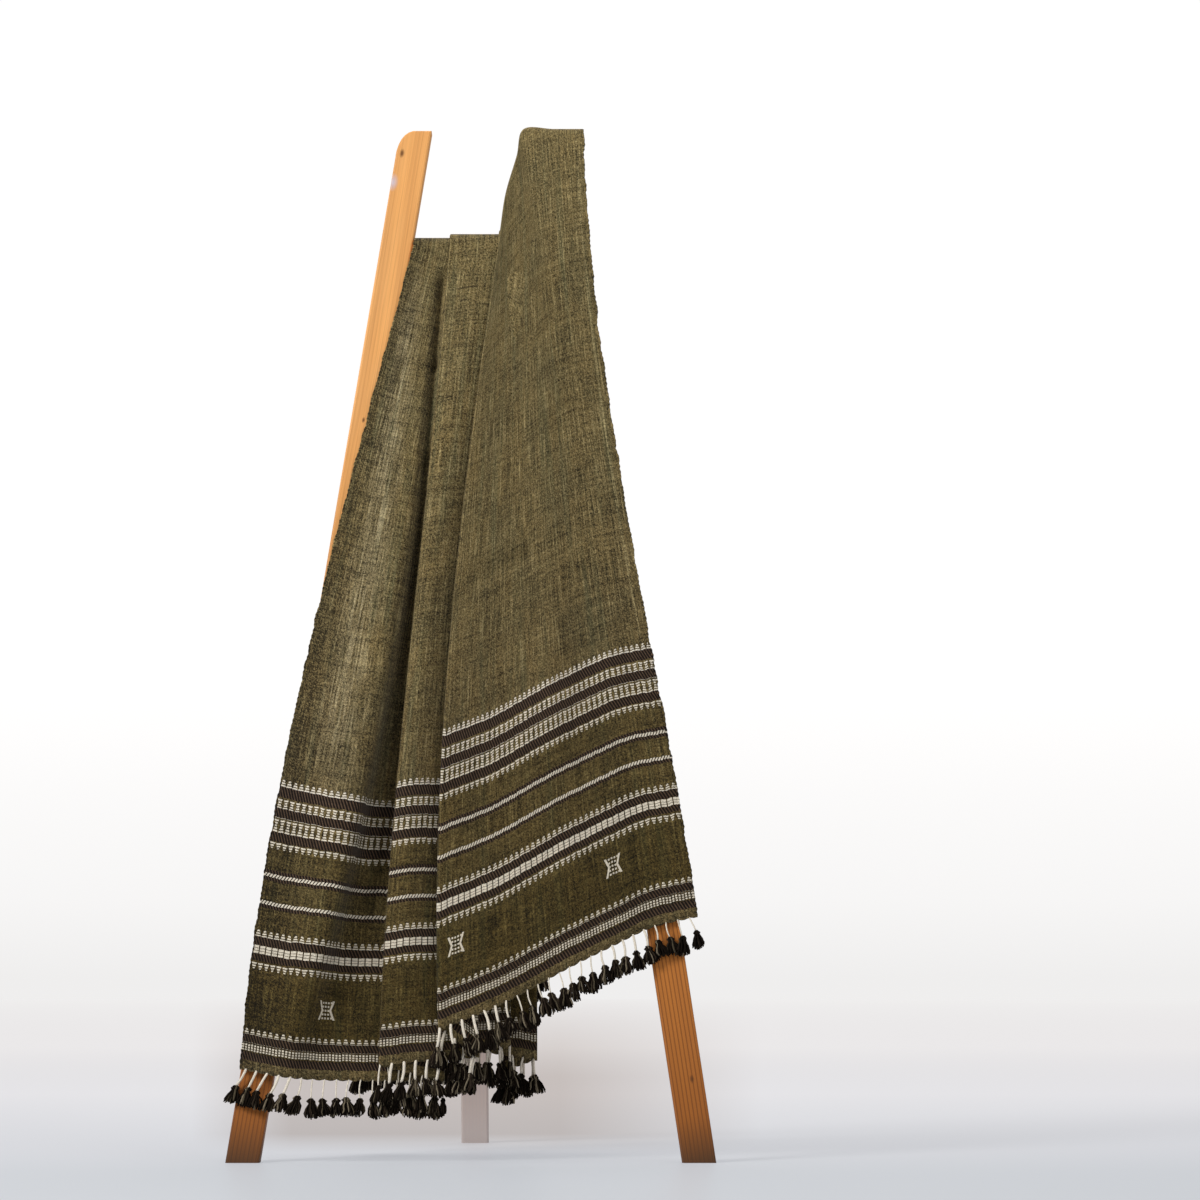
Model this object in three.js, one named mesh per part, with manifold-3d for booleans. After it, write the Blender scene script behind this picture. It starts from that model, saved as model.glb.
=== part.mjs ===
// Wool throw draped over a plain wooden stand: two front legs, a rung and a rear prop.
// Millimetres, +Z up, +X to the viewer's right, +Y away from the front.
// The origin is on the floor, under the middle of the whole thing.
import * as THREE from 'three';
import { mergeVertices } from 'three/addons/utils/BufferGeometryUtils.js';
import Module from 'manifold-3d';

const wasm = await Module();
wasm.setup();

// Stand
const LEG_HEIGHT = 1294;          // top of the front legs above the floor
const LEG_WIDTH = 40.5;
const LEG_DEPTH = 20;
const LEG_FOOT_X = 272.5;         // middle of a front foot
const LEG_TOP_X = 80.5;           // middle of a front leg's top
const LEG_TOP_Y = 161;            // how far the front frame leans back at its top
const TOP_CORNER_ACROSS = 17;     // the legs' outer top corners are rounded by this much
const TOP_CORNER_DOWN = 27;
const TOP_CORNER_PULL = [2, 3];   // how far inside the square corner their curve is drawn to
const ARRIS = 2.5;                // worn edges of the boards
const RUNG_TOP = 1151.6;          // height of the rung's top
const RUNG_DEPTH = 24;
const RUNG_TALL = 40;
const PROP_WIDTH = 36;            // rear leg
const PROP_DEPTH = 20;
const PROP_X = -13;
const PROP_FOOT_Y = 482;
const PROP_SEAT_TOP = 1128;       // flat at the prop's top that bears on the throw
const PROP_SEAT_BOTTOM = 1084;
const PROP_CHAMFER = 5;           // at the back of its top
const UNDER_FLOOR = 40;           // legs are made this much too long, then cut level with the floor
const FLOOR_BLOCK = 2000;         // what cuts them

// Throw
const THICK = 1.6;                // cloth
const GAP = 0.3;                  // between pieces that touch
const LAYER = 2.4;                // from one layer to the next where the pleats lie on the rung
const SAG = 16;                   // how far the front falls in between the legs at its hem
const LEG_REST = 2;               // throw above the leg's top
const HEM_GAP = 0.8;              // from the hem to the fringe's strip
const FRONT_STEPS = 12;
const CREST_STEPS = 8;
const BACK_STEPS = 11;
const PANEL_STEPS = 2;            // columns from one line of the throw to the next

// Fringe
const CORD_PITCH = 13.8;
const STRIP_TALL = 4;
const CORD_HALF = 1.3;
const CORD_ROOT = 0.95;
const TASSEL_HALF = 5.4;          // half the width of a tassel
const TASSEL_DEEP = 4.2;          // half its depth, where it hangs clear
const TASSEL_THIN = 2.2;          // and where it hangs between two layers
const EDGE_LEAN = 0.3;            // sideways lean of the outermost strands, as a slope
// Sections of one strand: drop below the hem, half width, and half depth (0: as deep as it may be).
const STRAND = [
  { drop: 2, wide: CORD_ROOT, deep: CORD_ROOT },
  { drop: 28, wide: CORD_HALF, deep: CORD_HALF },
  { drop: 38, wide: TASSEL_HALF, deep: 0 },
  { drop: 48, wide: TASSEL_HALF * 0.7, deep: CORD_HALF },
];

// Lines that run down the throw, from its left edge to its right, seen from the front.
// turn: 0 lies flat, 1 folds back to the left, -1 folds back to the right.
// layer: layers of cloth under it on the rung. gap: between the two layers of a fold at the hem.
// x: across, at the hem, a third and two thirds of the way up, and at the crest.
// n: how far the cloth stands off the front of the legs. z: height of the hem.
// crest: height of the throw's top, where it isn't on the rung. box: how square it is there.
// xb, yb, zb: the same line at the back hem: across, how far it swings out, and height.
const LINES = [
  { name: 'left edge', turn: 0, layer: 0, gap: 0, x: [-276, -235, -164, -80],
    n: [8, 7, 5], z: 112, xb: -150, yb: 6, zb: 116 },
  { name: 'crown', turn: 0, layer: 0, gap: 0, x: [-228, -137, -86, -44],
    n: [26, 34, 20], z: 104, xb: -112, yb: 62, zb: 124 },
  { name: 'crease', turn: 0, layer: 0, gap: 0, x: [-186, -117, -58, -22],
    n: [12, -8, -2], z: 100, xb: -42, yb: 6, zb: 130 },
  { name: 'first pleat, back', turn: 1, layer: 0.5, gap: 6, x: [-33, -15, 15, 42],
    n: [10, -4, 2], z: 99, xb: 42, yb: 4, zb: 135 },
  { name: 'first pleat, front', turn: -1, layer: 1.5, gap: 6, x: [-110, -92, -62, -35],
    n: [23, 28, 19], z: 117, xb: -38, yb: 10, zb: 129 },
  { name: 'middle', turn: 0, layer: 2, gap: 0, x: [-74, -76, -46, -4],
    n: [28, 37, 27], z: 122, xb: 4, yb: 10, zb: 128 },
  { name: 'tuck', turn: 0, layer: 2, gap: 0, x: [-36, -28, 0, 36],
    n: [25, 13, 9], z: 124, xb: 38, yb: 11, zb: 124 },
  { name: 'second pleat, back', turn: 1, layer: 2.5, gap: 6, x: [9, 10, 35, 73],
    n: [24, 22, 17], z: 128, xb: 75, yb: 12, zb: 118 },
  { name: 'second pleat, front', turn: -1, layer: 3.5, gap: 8, x: [-39, -38, -13, 27],
    n: [34, 35, 27], z: 161, xb: 30, yb: 18, zb: 104 },
  { name: 'right panel, first quarter', turn: 0, layer: 3, gap: 0, x: [38, 31, 36, 35],
    n: [34, 29, 23], z: 192, crest: 1211, box: 2, xb: 46, yb: 100, zb: 182 },
  { name: 'right panel, middle', turn: 0, layer: 1.5, gap: 0, x: [115, 94, 80, 49],
    n: [32, 31, 22], z: 233, crest: 1262, box: 2.5, xb: 74, yb: 52, zb: 236 },
  { name: 'beside the leg', turn: 0, layer: 0, gap: 0, x: [166, 132, 106, 57],
    n: [23, 20, 15], z: 258, crest: 1294, box: 3, xb: 100, yb: 90, zb: 284 },
  { name: 'over the leg', turn: 0, layer: 0, gap: 0, x: [218, 174, 134, 95],
    n: [13, 12, 9], z: 282, crest: 1294, box: 3, xb: 122, yb: 66, zb: 298 },
  { name: 'right edge', turn: 0, layer: 0, gap: 0, x: [271, 216, 162, 132],
    n: [8, 7, 5], z: 294, crest: 1294, box: 3, xb: 138, yb: 22, zb: 304 },
];

const LEAN = Math.atan2(LEG_TOP_Y, LEG_HEIGHT);
const SIN = Math.sin(LEAN);
const COS = Math.cos(LEAN);
const LEG_LONG = LEG_HEIGHT / COS;
const LEG_SPLAY = (LEG_FOOT_X - LEG_TOP_X) / LEG_LONG;
const MID_N = -LEG_DEPTH / 2;
const RUNG_ROUND = RUNG_DEPTH / 2;
const RUNG_T = RUNG_TOP / COS - RUNG_ROUND;
const CREST_ROUND = (RUNG_ROUND + GAP) / Math.cos(Math.PI / (2 * CREST_STEPS)) + THICK / 2;

// A point of the leaning front frame: x across, t up along it, n out of it towards the front.
function onFrame(x, t, n) {
  return new THREE.Vector3(x, t * SIN - n * COS, t * COS + n * SIN);
}

function legMiddle(t) {
  return LEG_FOOT_X - LEG_SPLAY * t;
}

function mapPoints(geometry, place) {
  const at = geometry.attributes.position;
  for (let i = 0; i < at.count; i += 1) {
    const p = place(at.getX(i), at.getY(i), at.getZ(i));
    at.setXYZ(i, p.x, p.y, p.z);
  }
  return geometry;
}

function toSolid(geometry) {
  geometry.deleteAttribute('normal');
  geometry.deleteAttribute('uv');
  const closed = mergeVertices(geometry, 1e-4);
  const vertProperties = new Float32Array(closed.attributes.position.array);
  const triVerts = new Uint32Array(closed.index.array);
  return new wasm.Manifold(new wasm.Mesh({ numProp: 3, vertProperties, triVerts }));
}

function toGeometry(solid) {
  const mesh = solid.getMesh();
  const geometry = new THREE.BufferGeometry();
  geometry.setAttribute('position', new THREE.BufferAttribute(mesh.vertProperties, 3));
  geometry.setIndex(new THREE.BufferAttribute(mesh.triVerts, 1));
  geometry.computeVertexNormals();
  return geometry;
}

function cutAtFloor(geometry) {
  const below = new THREE.BoxGeometry(FLOOR_BLOCK, FLOOR_BLOCK, FLOOR_BLOCK);
  below.translate(0, 0, -FLOOR_BLOCK / 2);
  return toGeometry(toSolid(geometry).subtract(toSolid(below)));
}

function board(outline, depth) {
  return new THREE.ExtrudeGeometry(outline, {
    depth: depth - 2 * ARRIS,
    bevelEnabled: true,
    bevelThickness: ARRIS,
    bevelSize: ARRIS,
    bevelOffset: -ARRIS,
    bevelSegments: 2,
    curveSegments: 5,
  });
}

// One front leg. side is -1 for the left one and 1 for the right one.
function frontLeg(side) {
  const half = LEG_WIDTH / 2;
  const foot = legMiddle(-UNDER_FLOOR);
  const outline = new THREE.Shape();
  outline.moveTo(side * (foot - half), -UNDER_FLOOR);
  outline.lineTo(side * (foot + half), -UNDER_FLOOR);
  const shoulder = LEG_LONG - TOP_CORNER_DOWN;
  outline.lineTo(side * (legMiddle(shoulder) + half), shoulder);
  outline.quadraticCurveTo(
    side * (LEG_TOP_X + half - TOP_CORNER_PULL[0]), LEG_LONG - TOP_CORNER_PULL[1],
    side * (LEG_TOP_X + half - TOP_CORNER_ACROSS), LEG_LONG,
  );
  outline.lineTo(side * (LEG_TOP_X - half), LEG_LONG);
  outline.closePath();
  const blank = board(outline, LEG_DEPTH);
  const front = mapPoints(blank, (x, t, out) => onFrame(x, t, out + ARRIS - LEG_DEPTH));
  return cutAtFloor(front);
}

// The rung has full-round edges, and its ends are cut to the legs' slope.
function rung() {
  const straight = RUNG_TALL - RUNG_DEPTH;
  const section = new THREE.Shape();
  section.absarc(0, 0, RUNG_ROUND, 0, Math.PI, false);
  section.absarc(0, -straight, RUNG_ROUND, Math.PI, 2 * Math.PI, false);
  section.closePath();
  const blank = new THREE.ExtrudeGeometry(section, {
    depth: 1, bevelEnabled: false, curveSegments: 16,
  });
  return mapPoints(blank, (out, up, along) => {
    const t = RUNG_T + up;
    const reach = legMiddle(t) - LEG_WIDTH / 2 - GAP;
    return onFrame(reach * (1 - 2 * along), t, MID_N + out);
  });
}

// The rear leg's side view: its top ends in an upright flat that bears on the throw.
function rearProp(seatY) {
  const slope = (PROP_FOOT_Y - seatY) / PROP_SEAT_BOTTOM;
  const deep = PROP_DEPTH * Math.hypot(1, slope);
  const footY = PROP_FOOT_Y + slope * UNDER_FLOOR;
  const side = new THREE.Shape();
  side.moveTo(footY, -UNDER_FLOOR);
  side.lineTo(footY + deep, -UNDER_FLOOR);
  side.lineTo(seatY + deep, PROP_SEAT_BOTTOM);
  side.lineTo(seatY + deep - PROP_CHAMFER, PROP_SEAT_TOP);
  side.lineTo(seatY, PROP_SEAT_TOP);
  side.lineTo(seatY, PROP_SEAT_BOTTOM);
  side.closePath();
  const blank = board(side, PROP_WIDTH);
  const half = PROP_WIDTH / 2;
  const stood = mapPoints(blank, (y, z, along) => (
    new THREE.Vector3(PROP_X - half + ARRIS + along, y, z)
  ));
  return cutAtFloor(stood);
}

// Smooth value between the hem, a third, two thirds and the crest.
function between(values, s) {
  const [v0, v1, v2, v3] = values;
  const k = 3 * s;
  return (
    -v0 * (k - 1) * (k - 2) * (k - 3) / 6 + v1 * k * (k - 2) * (k - 3) / 2
    - v2 * k * (k - 1) * (k - 3) / 2 + v3 * k * (k - 1) * (k - 2) / 6
  );
}

// Where a line's arc over the rung, the slope or the leg's top is centred, and its size.
function crestOf(line) {
  const out = CREST_ROUND + LAYER * line.layer;
  if (line.crest === undefined) {
    return { t: RUNG_T, out, up: out, box: 2 };
  }
  const rest = line.box === 3 ? LEG_REST + THICK / 2 : 0;
  return { t: line.crest / COS + rest - CREST_ROUND, out, up: CREST_ROUND, box: line.box };
}

// side is -1, 0 or 1: under, at or over the edge of a fold, so that it is rounded.
function foldShift(line, side, half) {
  return { across: line.turn === 0 ? 0 : -line.turn * half * (side === 0 ? 0 : 1), out: side * half };
}

function frontPoint(line, side, s) {
  const crest = crestOf(line);
  const n = between([...line.n, MID_N + crest.out], s);
  const sag = SAG * (1 - s) * Math.sin(Math.PI * (line.x[0] - LINES[0].x[0])
    / (LINES.at(-1).x[0] - LINES[0].x[0]));
  const half = THREE.MathUtils.lerp(line.gap, LAYER, s) / 2;
  const shift = foldShift(line, side, line.turn === 0 ? 0 : half);
  const hemT = (line.z - n * SIN) / COS;
  const t = THREE.MathUtils.lerp(hemT, crest.t, s);
  return onFrame(between(line.x, s) + shift.across, t, n - sag + shift.out);
}

function power(value, box) {
  return Math.sign(value) * Math.abs(value) ** (2 / box);
}

function crestPoint(line, side, angle) {
  const crest = crestOf(line);
  const shift = foldShift(line, side, line.turn === 0 ? 0 : LAYER / 2);
  const n = MID_N + (crest.out + shift.out) * power(Math.cos(angle), crest.box);
  const t = crest.t + (crest.up + shift.out) * power(Math.sin(angle), crest.box);
  return onFrame(line.x[3] + shift.across, t, n);
}

// s runs from 0 behind the crest to 1 at the back hem. The folds open as the cloth hangs down.
function backPoint(line, side, s) {
  const top = crestPoint(line, 0, Math.PI);
  const half = THREE.MathUtils.lerp(LAYER, line.gap, s) / 2;
  const shift = foldShift(line, side, line.turn === 0 ? 0 : half);
  const swing = s * s * (3 - s) / 2;
  return new THREE.Vector3(
    THREE.MathUtils.lerp(top.x, line.xb, swing) + shift.across,
    top.y + line.yb * swing + shift.out,
    THREE.MathUtils.lerp(top.z, line.zb, s),
  );
}

// One course across the throw: smooth along each panel, rounded at each fold.
function course(pointOf) {
  const points = [];
  let panel = [];
  const flush = () => {
    const curve = new THREE.CatmullRomCurve3(panel, false, 'centripetal');
    const steps = (panel.length - 1) * PANEL_STEPS;
    for (let i = 0; i <= steps; i += 1) {
      points.push(curve.getPoint(i / steps));
    }
  };
  for (const line of LINES) {
    if (line.turn === 0) {
      panel.push(pointOf(line, 0));
    } else {
      panel.push(pointOf(line, -1));
      flush();
      points.push(pointOf(line, 0));
      panel = [pointOf(line, 1)];
    }
  }
  flush();
  return points;
}

function throwCourses() {
  const courses = [];
  for (let i = 0; i < FRONT_STEPS; i += 1) {
    courses.push(course((line, side) => frontPoint(line, side, i / FRONT_STEPS)));
  }
  for (let i = 0; i <= CREST_STEPS; i += 1) {
    courses.push(course((line, side) => crestPoint(line, side, Math.PI * i / CREST_STEPS)));
  }
  for (let i = 1; i <= BACK_STEPS; i += 1) {
    courses.push(course((line, side) => backPoint(line, side, i / BACK_STEPS)));
  }
  return courses;
}

// Outward direction of the cloth at each point of its courses.
function outward(courses) {
  const rows = courses.length;
  const columns = courses[0].length;
  return courses.map((row, i) => row.map((point, j) => {
    const along = row[Math.min(j + 1, columns - 1)].clone().sub(row[Math.max(j - 1, 0)]);
    const up = courses[Math.min(i + 1, rows - 1)][j].clone().sub(courses[Math.max(i - 1, 0)][j]);
    return along.normalize().cross(up.normalize()).normalize();
  }));
}

// A closed sheet of even thickness on the given courses.
function sheet(courses, normals) {
  const rows = courses.length;
  const columns = courses[0].length;
  const corners = [];
  for (const half of [THICK / 2, -THICK / 2]) {
    courses.forEach((row, i) => row.forEach((point, j) => {
      corners.push(point.clone().addScaledVector(normals[i][j], half));
    }));
  }
  const at = (i, j, inner) => inner * rows * columns + i * columns + j;
  const faces = [];
  const quad = (a, b, c, d) => faces.push(a, b, c, a, c, d);
  for (let i = 0; i + 1 < rows; i += 1) {
    for (let j = 0; j + 1 < columns; j += 1) {
      quad(at(i, j, 0), at(i, j + 1, 0), at(i + 1, j + 1, 0), at(i + 1, j, 0));
      quad(at(i, j, 1), at(i + 1, j, 1), at(i + 1, j + 1, 1), at(i, j + 1, 1));
    }
  }
  const last = columns - 1;
  for (let i = 0; i + 1 < rows; i += 1) {
    quad(at(i, 0, 1), at(i, 0, 0), at(i + 1, 0, 0), at(i + 1, 0, 1));
    quad(at(i, last, 0), at(i, last, 1), at(i + 1, last, 1), at(i + 1, last, 0));
  }
  for (let j = 0; j < last; j += 1) {
    quad(at(0, j, 1), at(0, j + 1, 1), at(0, j + 1, 0), at(0, j, 0));
    quad(at(rows - 1, j, 0), at(rows - 1, j + 1, 0), at(rows - 1, j + 1, 1), at(rows - 1, j, 1));
  }
  const geometry = new THREE.BufferGeometry();
  geometry.setAttribute('position', new THREE.Float32BufferAttribute(
    corners.flatMap((p) => [p.x, p.y, p.z]), 3,
  ));
  geometry.setIndex(faces);
  geometry.computeVertexNormals();
  return geometry;
}

// The strands next to the throw's side edges lean outwards.
function edgeLean(share) {
  return EDGE_LEAN * (2 * share - 1) ** 9;
}

// One strand of the fringe, of four sides: a cord and the tassel at its end.
function strand(root, down, across, out, deepest) {
  const ring = [];
  for (const { drop, wide, deep } of STRAND) {
    const centre = root.clone().addScaledVector(down, drop);
    const thick = deep || deepest;
    ring.push(
      centre.clone().addScaledVector(across, wide),
      centre.clone().addScaledVector(out, thick),
      centre.clone().addScaledVector(across, -wide),
      centre.clone().addScaledVector(out, -thick),
    );
  }
  const faces = [];
  const last = 4 * (STRAND.length - 1);
  for (let k = 0; k < last; k += 4) {
    for (let e = 0; e < 4; e += 1) {
      const f = (e + 1) % 4;
      faces.push(k + e, k + f, k + 4 + f, k + e, k + 4 + f, k + 4 + e);
    }
  }
  faces.push(0, 2, 1, 0, 3, 2);
  faces.push(last, last + 1, last + 2, last, last + 2, last + 3);
  const geometry = new THREE.BufferGeometry();
  geometry.setAttribute('position', new THREE.Float32BufferAttribute(
    ring.flatMap((p) => [p.x, p.y, p.z]), 3,
  ));
  geometry.setIndex(faces);
  return geometry;
}

// The column of the throw's courses where a line lies, at the middle of its fold if it has one.
function columnOf(name) {
  let column = 0;
  for (const line of LINES) {
    const start = line === LINES[0];
    column += start ? 0 : PANEL_STEPS;
    column += line.turn === 0 ? 0 : 1;
    if (line.name === name) {
      return column;
    }
    column += line.turn === 0 ? 0 : 1;
  }
  throw new Error(`no line ${name}`);
}

// The fringe of one end: a narrow strip just off the hem, with its strands fused into it.
// Strands that hang between two layers of the pleats are thin, so that all stand apart.
function fringe(hem, above, normals, falling) {
  const downs = hem.map((point, j) => point.clone().sub(above[j]).normalize());
  const drops = falling ? [HEM_GAP, HEM_GAP + STRIP_TALL] : [HEM_GAP + STRIP_TALL, HEM_GAP];
  const square = hem.map((point, j) => {
    const along = hem[Math.min(j + 1, hem.length - 1)].clone().sub(hem[Math.max(j - 1, 0)]);
    const side = along.cross(normals[j]).normalize();
    return side.multiplyScalar(Math.sign(side.dot(downs[j])));
  });
  const strip = drops.map((drop) => (
    hem.map((point, j) => point.clone().addScaledVector(square[j], drop))
  ));
  const lastFold = columnOf('second pleat, front');
  const pleatX = hem[columnOf('first pleat, front')].x;
  const whole = hem.slice(1).reduce((sum, point, j) => sum + point.distanceTo(hem[j]), 0);
  let solid = toSolid(sheet(strip, [normals, normals]));
  let walked = 0;
  let next = CORD_PITCH / 2;
  for (let j = 0; j + 1 < hem.length; j += 1) {
    const length = hem[j].distanceTo(hem[j + 1]);
    while (next < walked + length) {
      const k = (next - walked) / length;
      const root = hem[j].clone().lerp(hem[j + 1], k);
      const out = normals[j].clone().lerp(normals[j + 1], k).normalize();
      const down = downs[j].clone().lerp(downs[j + 1], k);
      down.addScaledVector(hem[j + 1].clone().sub(hem[j]).normalize(), edgeLean(next / whole));
      down.normalize();
      const across = out.clone().cross(down).normalize();
      const tucked = j < lastFold && root.x > pleatX;
      solid = solid.add(toSolid(strand(root, down, across, out, tucked ? TASSEL_THIN : TASSEL_DEEP)));
      next += CORD_PITCH;
    }
    walked += length;
  }
  return toGeometry(solid);
}

const WOOD = { color: 0xc98a45, roughness: 0.55, metalness: 0 };
const WOOL = { color: 0x5b5636, roughness: 0.95, metalness: 0 };
const DARK_WOOL = { color: 0x2a2320, roughness: 0.95, metalness: 0 };

function piece(name, geometry, finish) {
  const mesh = new THREE.Mesh(geometry, new THREE.MeshStandardMaterial(finish));
  mesh.name = name;
  return mesh;
}

const courses = throwCourses();
const normals = outward(courses);
const seatLine = LINES.find((line) => line.name === 'middle');
const seatY = crestPoint(seatLine, 0, Math.PI).y + THICK / 2 + 2 * GAP;

const group = new THREE.Group();
group.add(
  piece('front_leg_left', frontLeg(-1), WOOD),
  piece('front_leg_right', frontLeg(1), WOOD),
  piece('rung', rung(), WOOD),
  piece('rear_leg', rearProp(seatY), WOOD),
  piece('throw', sheet(courses, normals), WOOL),
  piece('fringe_front', fringe(courses[0], courses[1], normals[0], false), DARK_WOOL),
  piece('fringe_back', fringe(courses.at(-1), courses.at(-2), normals.at(-1), true), DARK_WOOL),
);

const bounds = new THREE.Box3().setFromObject(group);
const middle = bounds.getCenter(new THREE.Vector3());
group.position.set(-middle.x, -middle.y, -bounds.min.z);

export default group;
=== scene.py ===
# A hand-loomed wool throw with striped, tasselled ends, hung over a plain pine stand.
import math
import random
from collections import namedtuple
from functools import partial, reduce

import bpy
import numpy as np
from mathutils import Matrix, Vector


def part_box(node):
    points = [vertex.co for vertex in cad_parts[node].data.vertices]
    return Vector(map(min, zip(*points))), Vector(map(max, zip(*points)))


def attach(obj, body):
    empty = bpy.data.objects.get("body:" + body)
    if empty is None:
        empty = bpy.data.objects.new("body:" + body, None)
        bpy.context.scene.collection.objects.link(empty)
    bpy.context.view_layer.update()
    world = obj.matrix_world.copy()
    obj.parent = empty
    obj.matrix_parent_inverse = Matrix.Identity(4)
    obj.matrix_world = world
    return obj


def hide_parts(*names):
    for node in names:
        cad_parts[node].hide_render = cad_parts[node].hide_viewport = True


bl_info = {
    "name": "Wool throw on a stand",
    "version": (1, 0, 0),
    "blender": (4, 5, 0),
    "location": "3D View > Sidebar > Throw",
    "description": "Finishes a fringed wool throw over a wooden stand",
    "category": "Object",
}

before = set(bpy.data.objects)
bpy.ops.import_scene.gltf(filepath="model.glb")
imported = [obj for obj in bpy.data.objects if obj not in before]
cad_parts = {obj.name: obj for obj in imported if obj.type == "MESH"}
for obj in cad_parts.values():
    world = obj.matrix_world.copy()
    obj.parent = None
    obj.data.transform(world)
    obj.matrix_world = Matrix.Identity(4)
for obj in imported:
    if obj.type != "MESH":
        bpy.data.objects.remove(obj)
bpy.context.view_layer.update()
MM = 0.001
FEET_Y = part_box("front_leg_left")[0].y / MM      # the front feet's front faces

# Stand, in millimetres as in the CAD part
LEG_HEIGHT = 1294
LEG_TOP_Y = 161
RUNG_TOP = 1151.6
RUNG_ROUND = 12
LEG_DEPTH = 20
LEAN = math.atan2(LEG_TOP_Y, LEG_HEIGHT)
SIN, COS = math.sin(LEAN), math.cos(LEAN)
MID_N = -LEG_DEPTH / 2
RUNG_T = RUNG_TOP / COS - RUNG_ROUND

# Throw
GAP = 0.3
CAD_THICK = 1.6
CAD_CREST_STEPS = 8
LAYER = 2.4
SAG = 16
LEG_REST = 2
CREST_ROUND = (RUNG_ROUND + GAP) / math.cos(math.pi / (2 * CAD_CREST_STEPS)) + CAD_THICK / 2
FRONT_ROWS, CREST_ROWS, BACK_ROWS = 92, 16, 72
COLUMN = 3.9             # from one column of the cloth's mesh to the next
FOLD_STEPS = 6
CORD_PITCH = 13.8
SCALLOP = 2.4            # how far the hem hangs down between two cords
EDGE_STRAY = 0.7         # how unevenly the side edges run
# Unevenness of the hung wool: height of each wave, its lengths across and up, its start.
WAVES = [(0.9, 31, 140, 0.7), (0.7, 17, -95, 2.1), (0.6, 52, 38, 4.0), (0.35, 11, 51, 1.3)]
WAVES_UP_TO, WAVES_FADE = 1080, 250
WAVES_DEEP = 0.8
SCALLOP_ROUND, SCALLOP_UP = 0.7, 0.4
EDGE_SEED = 7
SMOOTH_STEPS = 12

# Lines down the throw from its left edge to its right, the same as in the CAD part.
# turn: 0 flat, 1 folds back to the left, -1 folds back to the right. layer: layers under it.
# gap: between a fold's two layers at the hem. x, n: across and off the legs, from hem to crest.
# z: hem. crest, box: height and squareness where it isn't on the rung. xb, yb, zb: back hem.
Line = namedtuple("Line", "name turn layer gap x n z crest box xb yb zb")
LINES = [
    Line("left edge", 0, 0, 0, (-276, -235, -164, -80), (8, 7, 5), 112, None, 2, -150, 6, 116),
    Line("crown", 0, 0, 0, (-228, -137, -86, -44), (26, 34, 20), 104, None, 2, -112, 62, 124),
    Line("crease", 0, 0, 0, (-186, -117, -58, -22), (12, -8, -2), 100, None, 2, -42, 6, 130),
    Line("pleat 1 back", 1, .5, 6, (-33, -15, 15, 42), (10, -4, 2), 99, None, 2, 42, 4, 135),
    Line("pleat 1 front", -1, 1.5, 6, (-110, -92, -62, -35), (23, 28, 19), 117, None, 2,
         -38, 10, 129),
    Line("middle", 0, 2, 0, (-74, -76, -46, -4), (28, 37, 27), 122, None, 2, 4, 10, 128),
    Line("tuck", 0, 2, 0, (-36, -28, 0, 36), (25, 13, 9), 124, None, 2, 38, 11, 124),
    Line("pleat 2 back", 1, 2.5, 6, (9, 10, 35, 73), (24, 22, 17), 128, None, 2, 75, 12, 118),
    Line("pleat 2 front", -1, 3.5, 8, (-39, -38, -13, 27), (34, 35, 27), 161, None, 2, 30, 18, 104),
    Line("first quarter", 0, 3, 0, (38, 31, 36, 35), (34, 29, 23), 192, 1211, 2, 46, 100, 182),
    Line("right middle", 0, 1.5, 0, (115, 94, 80, 49), (32, 31, 22), 233, 1262, 2.5, 74, 52, 236),
    Line("beside the leg", 0, 0, 0, (166, 132, 106, 57), (23, 20, 15), 258, 1294, 3, 100, 90, 284),
    Line("over the leg", 0, 0, 0, (218, 174, 134, 95), (13, 12, 9), 282, 1294, 3, 122, 66, 298),
    Line("right edge", 0, 0, 0, (271, 216, 162, 132), (8, 7, 5), 294, 1294, 3, 138, 22, 304),
]

# Soft creases in the front: from one point to the other (x, z), how wide, how deep, and in
# which panel, counted from the left, or None for every layer there.
CREASES = [
    ((0, 707), (66, 742), 7, 8.0, None),
    ((66, 742), (96, 750), 7, 3.0, None),
    ((80, 320), (92, 362), 12, 4.0, None),
    ((-12, 1090), (22, 1096), 6, 1.2, None),
    ((30, 1000), (120, 1030), 14, 1.6, None),
    ((10, 860), (110, 905), 16, 1.8, None),
    ((-228, 500), (-190, 640), 14, 1.6, None),
    ((-45, 1092), (-54, 985), 6, 13.0, 0),
    ((-54, 985), (-63, 860), 6, 11.0, 0),
    ((-63, 860), (-81, 640), 6, 9.0, 0),
    ((-81, 640), (-98, 440), 6, 6.0, 0),
    ((48, 1090), (76, 640), 18, 3.0, 4),
    ((150, 900), (170, 560), 14, -2.0, 4),
]

# Striped end: how far above the hem each stripe begins, in steps of 1.2 mm, and what it is.
STRIPE_UNIT = 1.2
STRIPES = [
    (0, "field"), (9, "brown"), (17, "field"), (18.5, "dots"), (26, "brown"), (34, "dashes"),
    (41.5, "field"), (100.5, "dashes"), (108, "brown"), (116, "blocks"), (124, "brown"),
    (132, "dashes"), (139.5, "field"), (160.5, "brown"), (164, "rope"), (167.3, "field"),
    (187.5, "brown"), (191, "rope"), (194.3, "brown"), (198, "field"), (218.5, "dashes"),
    (226, "brown"), (235.5, "dashes"), (248.5, "brown"), (258.5, "dashes"), (268.5, "brown"),
    (280, "dashes"), (287.5, "field"),
]
STRIPES_END = 300
# What lies in each kind of stripe: brown ground, rope, dots and dashes.
STRIPE_CODES = {
    "field": (0, 0, 0, 0), "brown": (1, 0, 0, 0), "rope": (0, 1, 0, 0),
    "dots": (0.55, 0, 1, 0), "blocks": (0.55, 0, 0, 1), "dashes": (0, 0, 0, 1),
}
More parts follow.
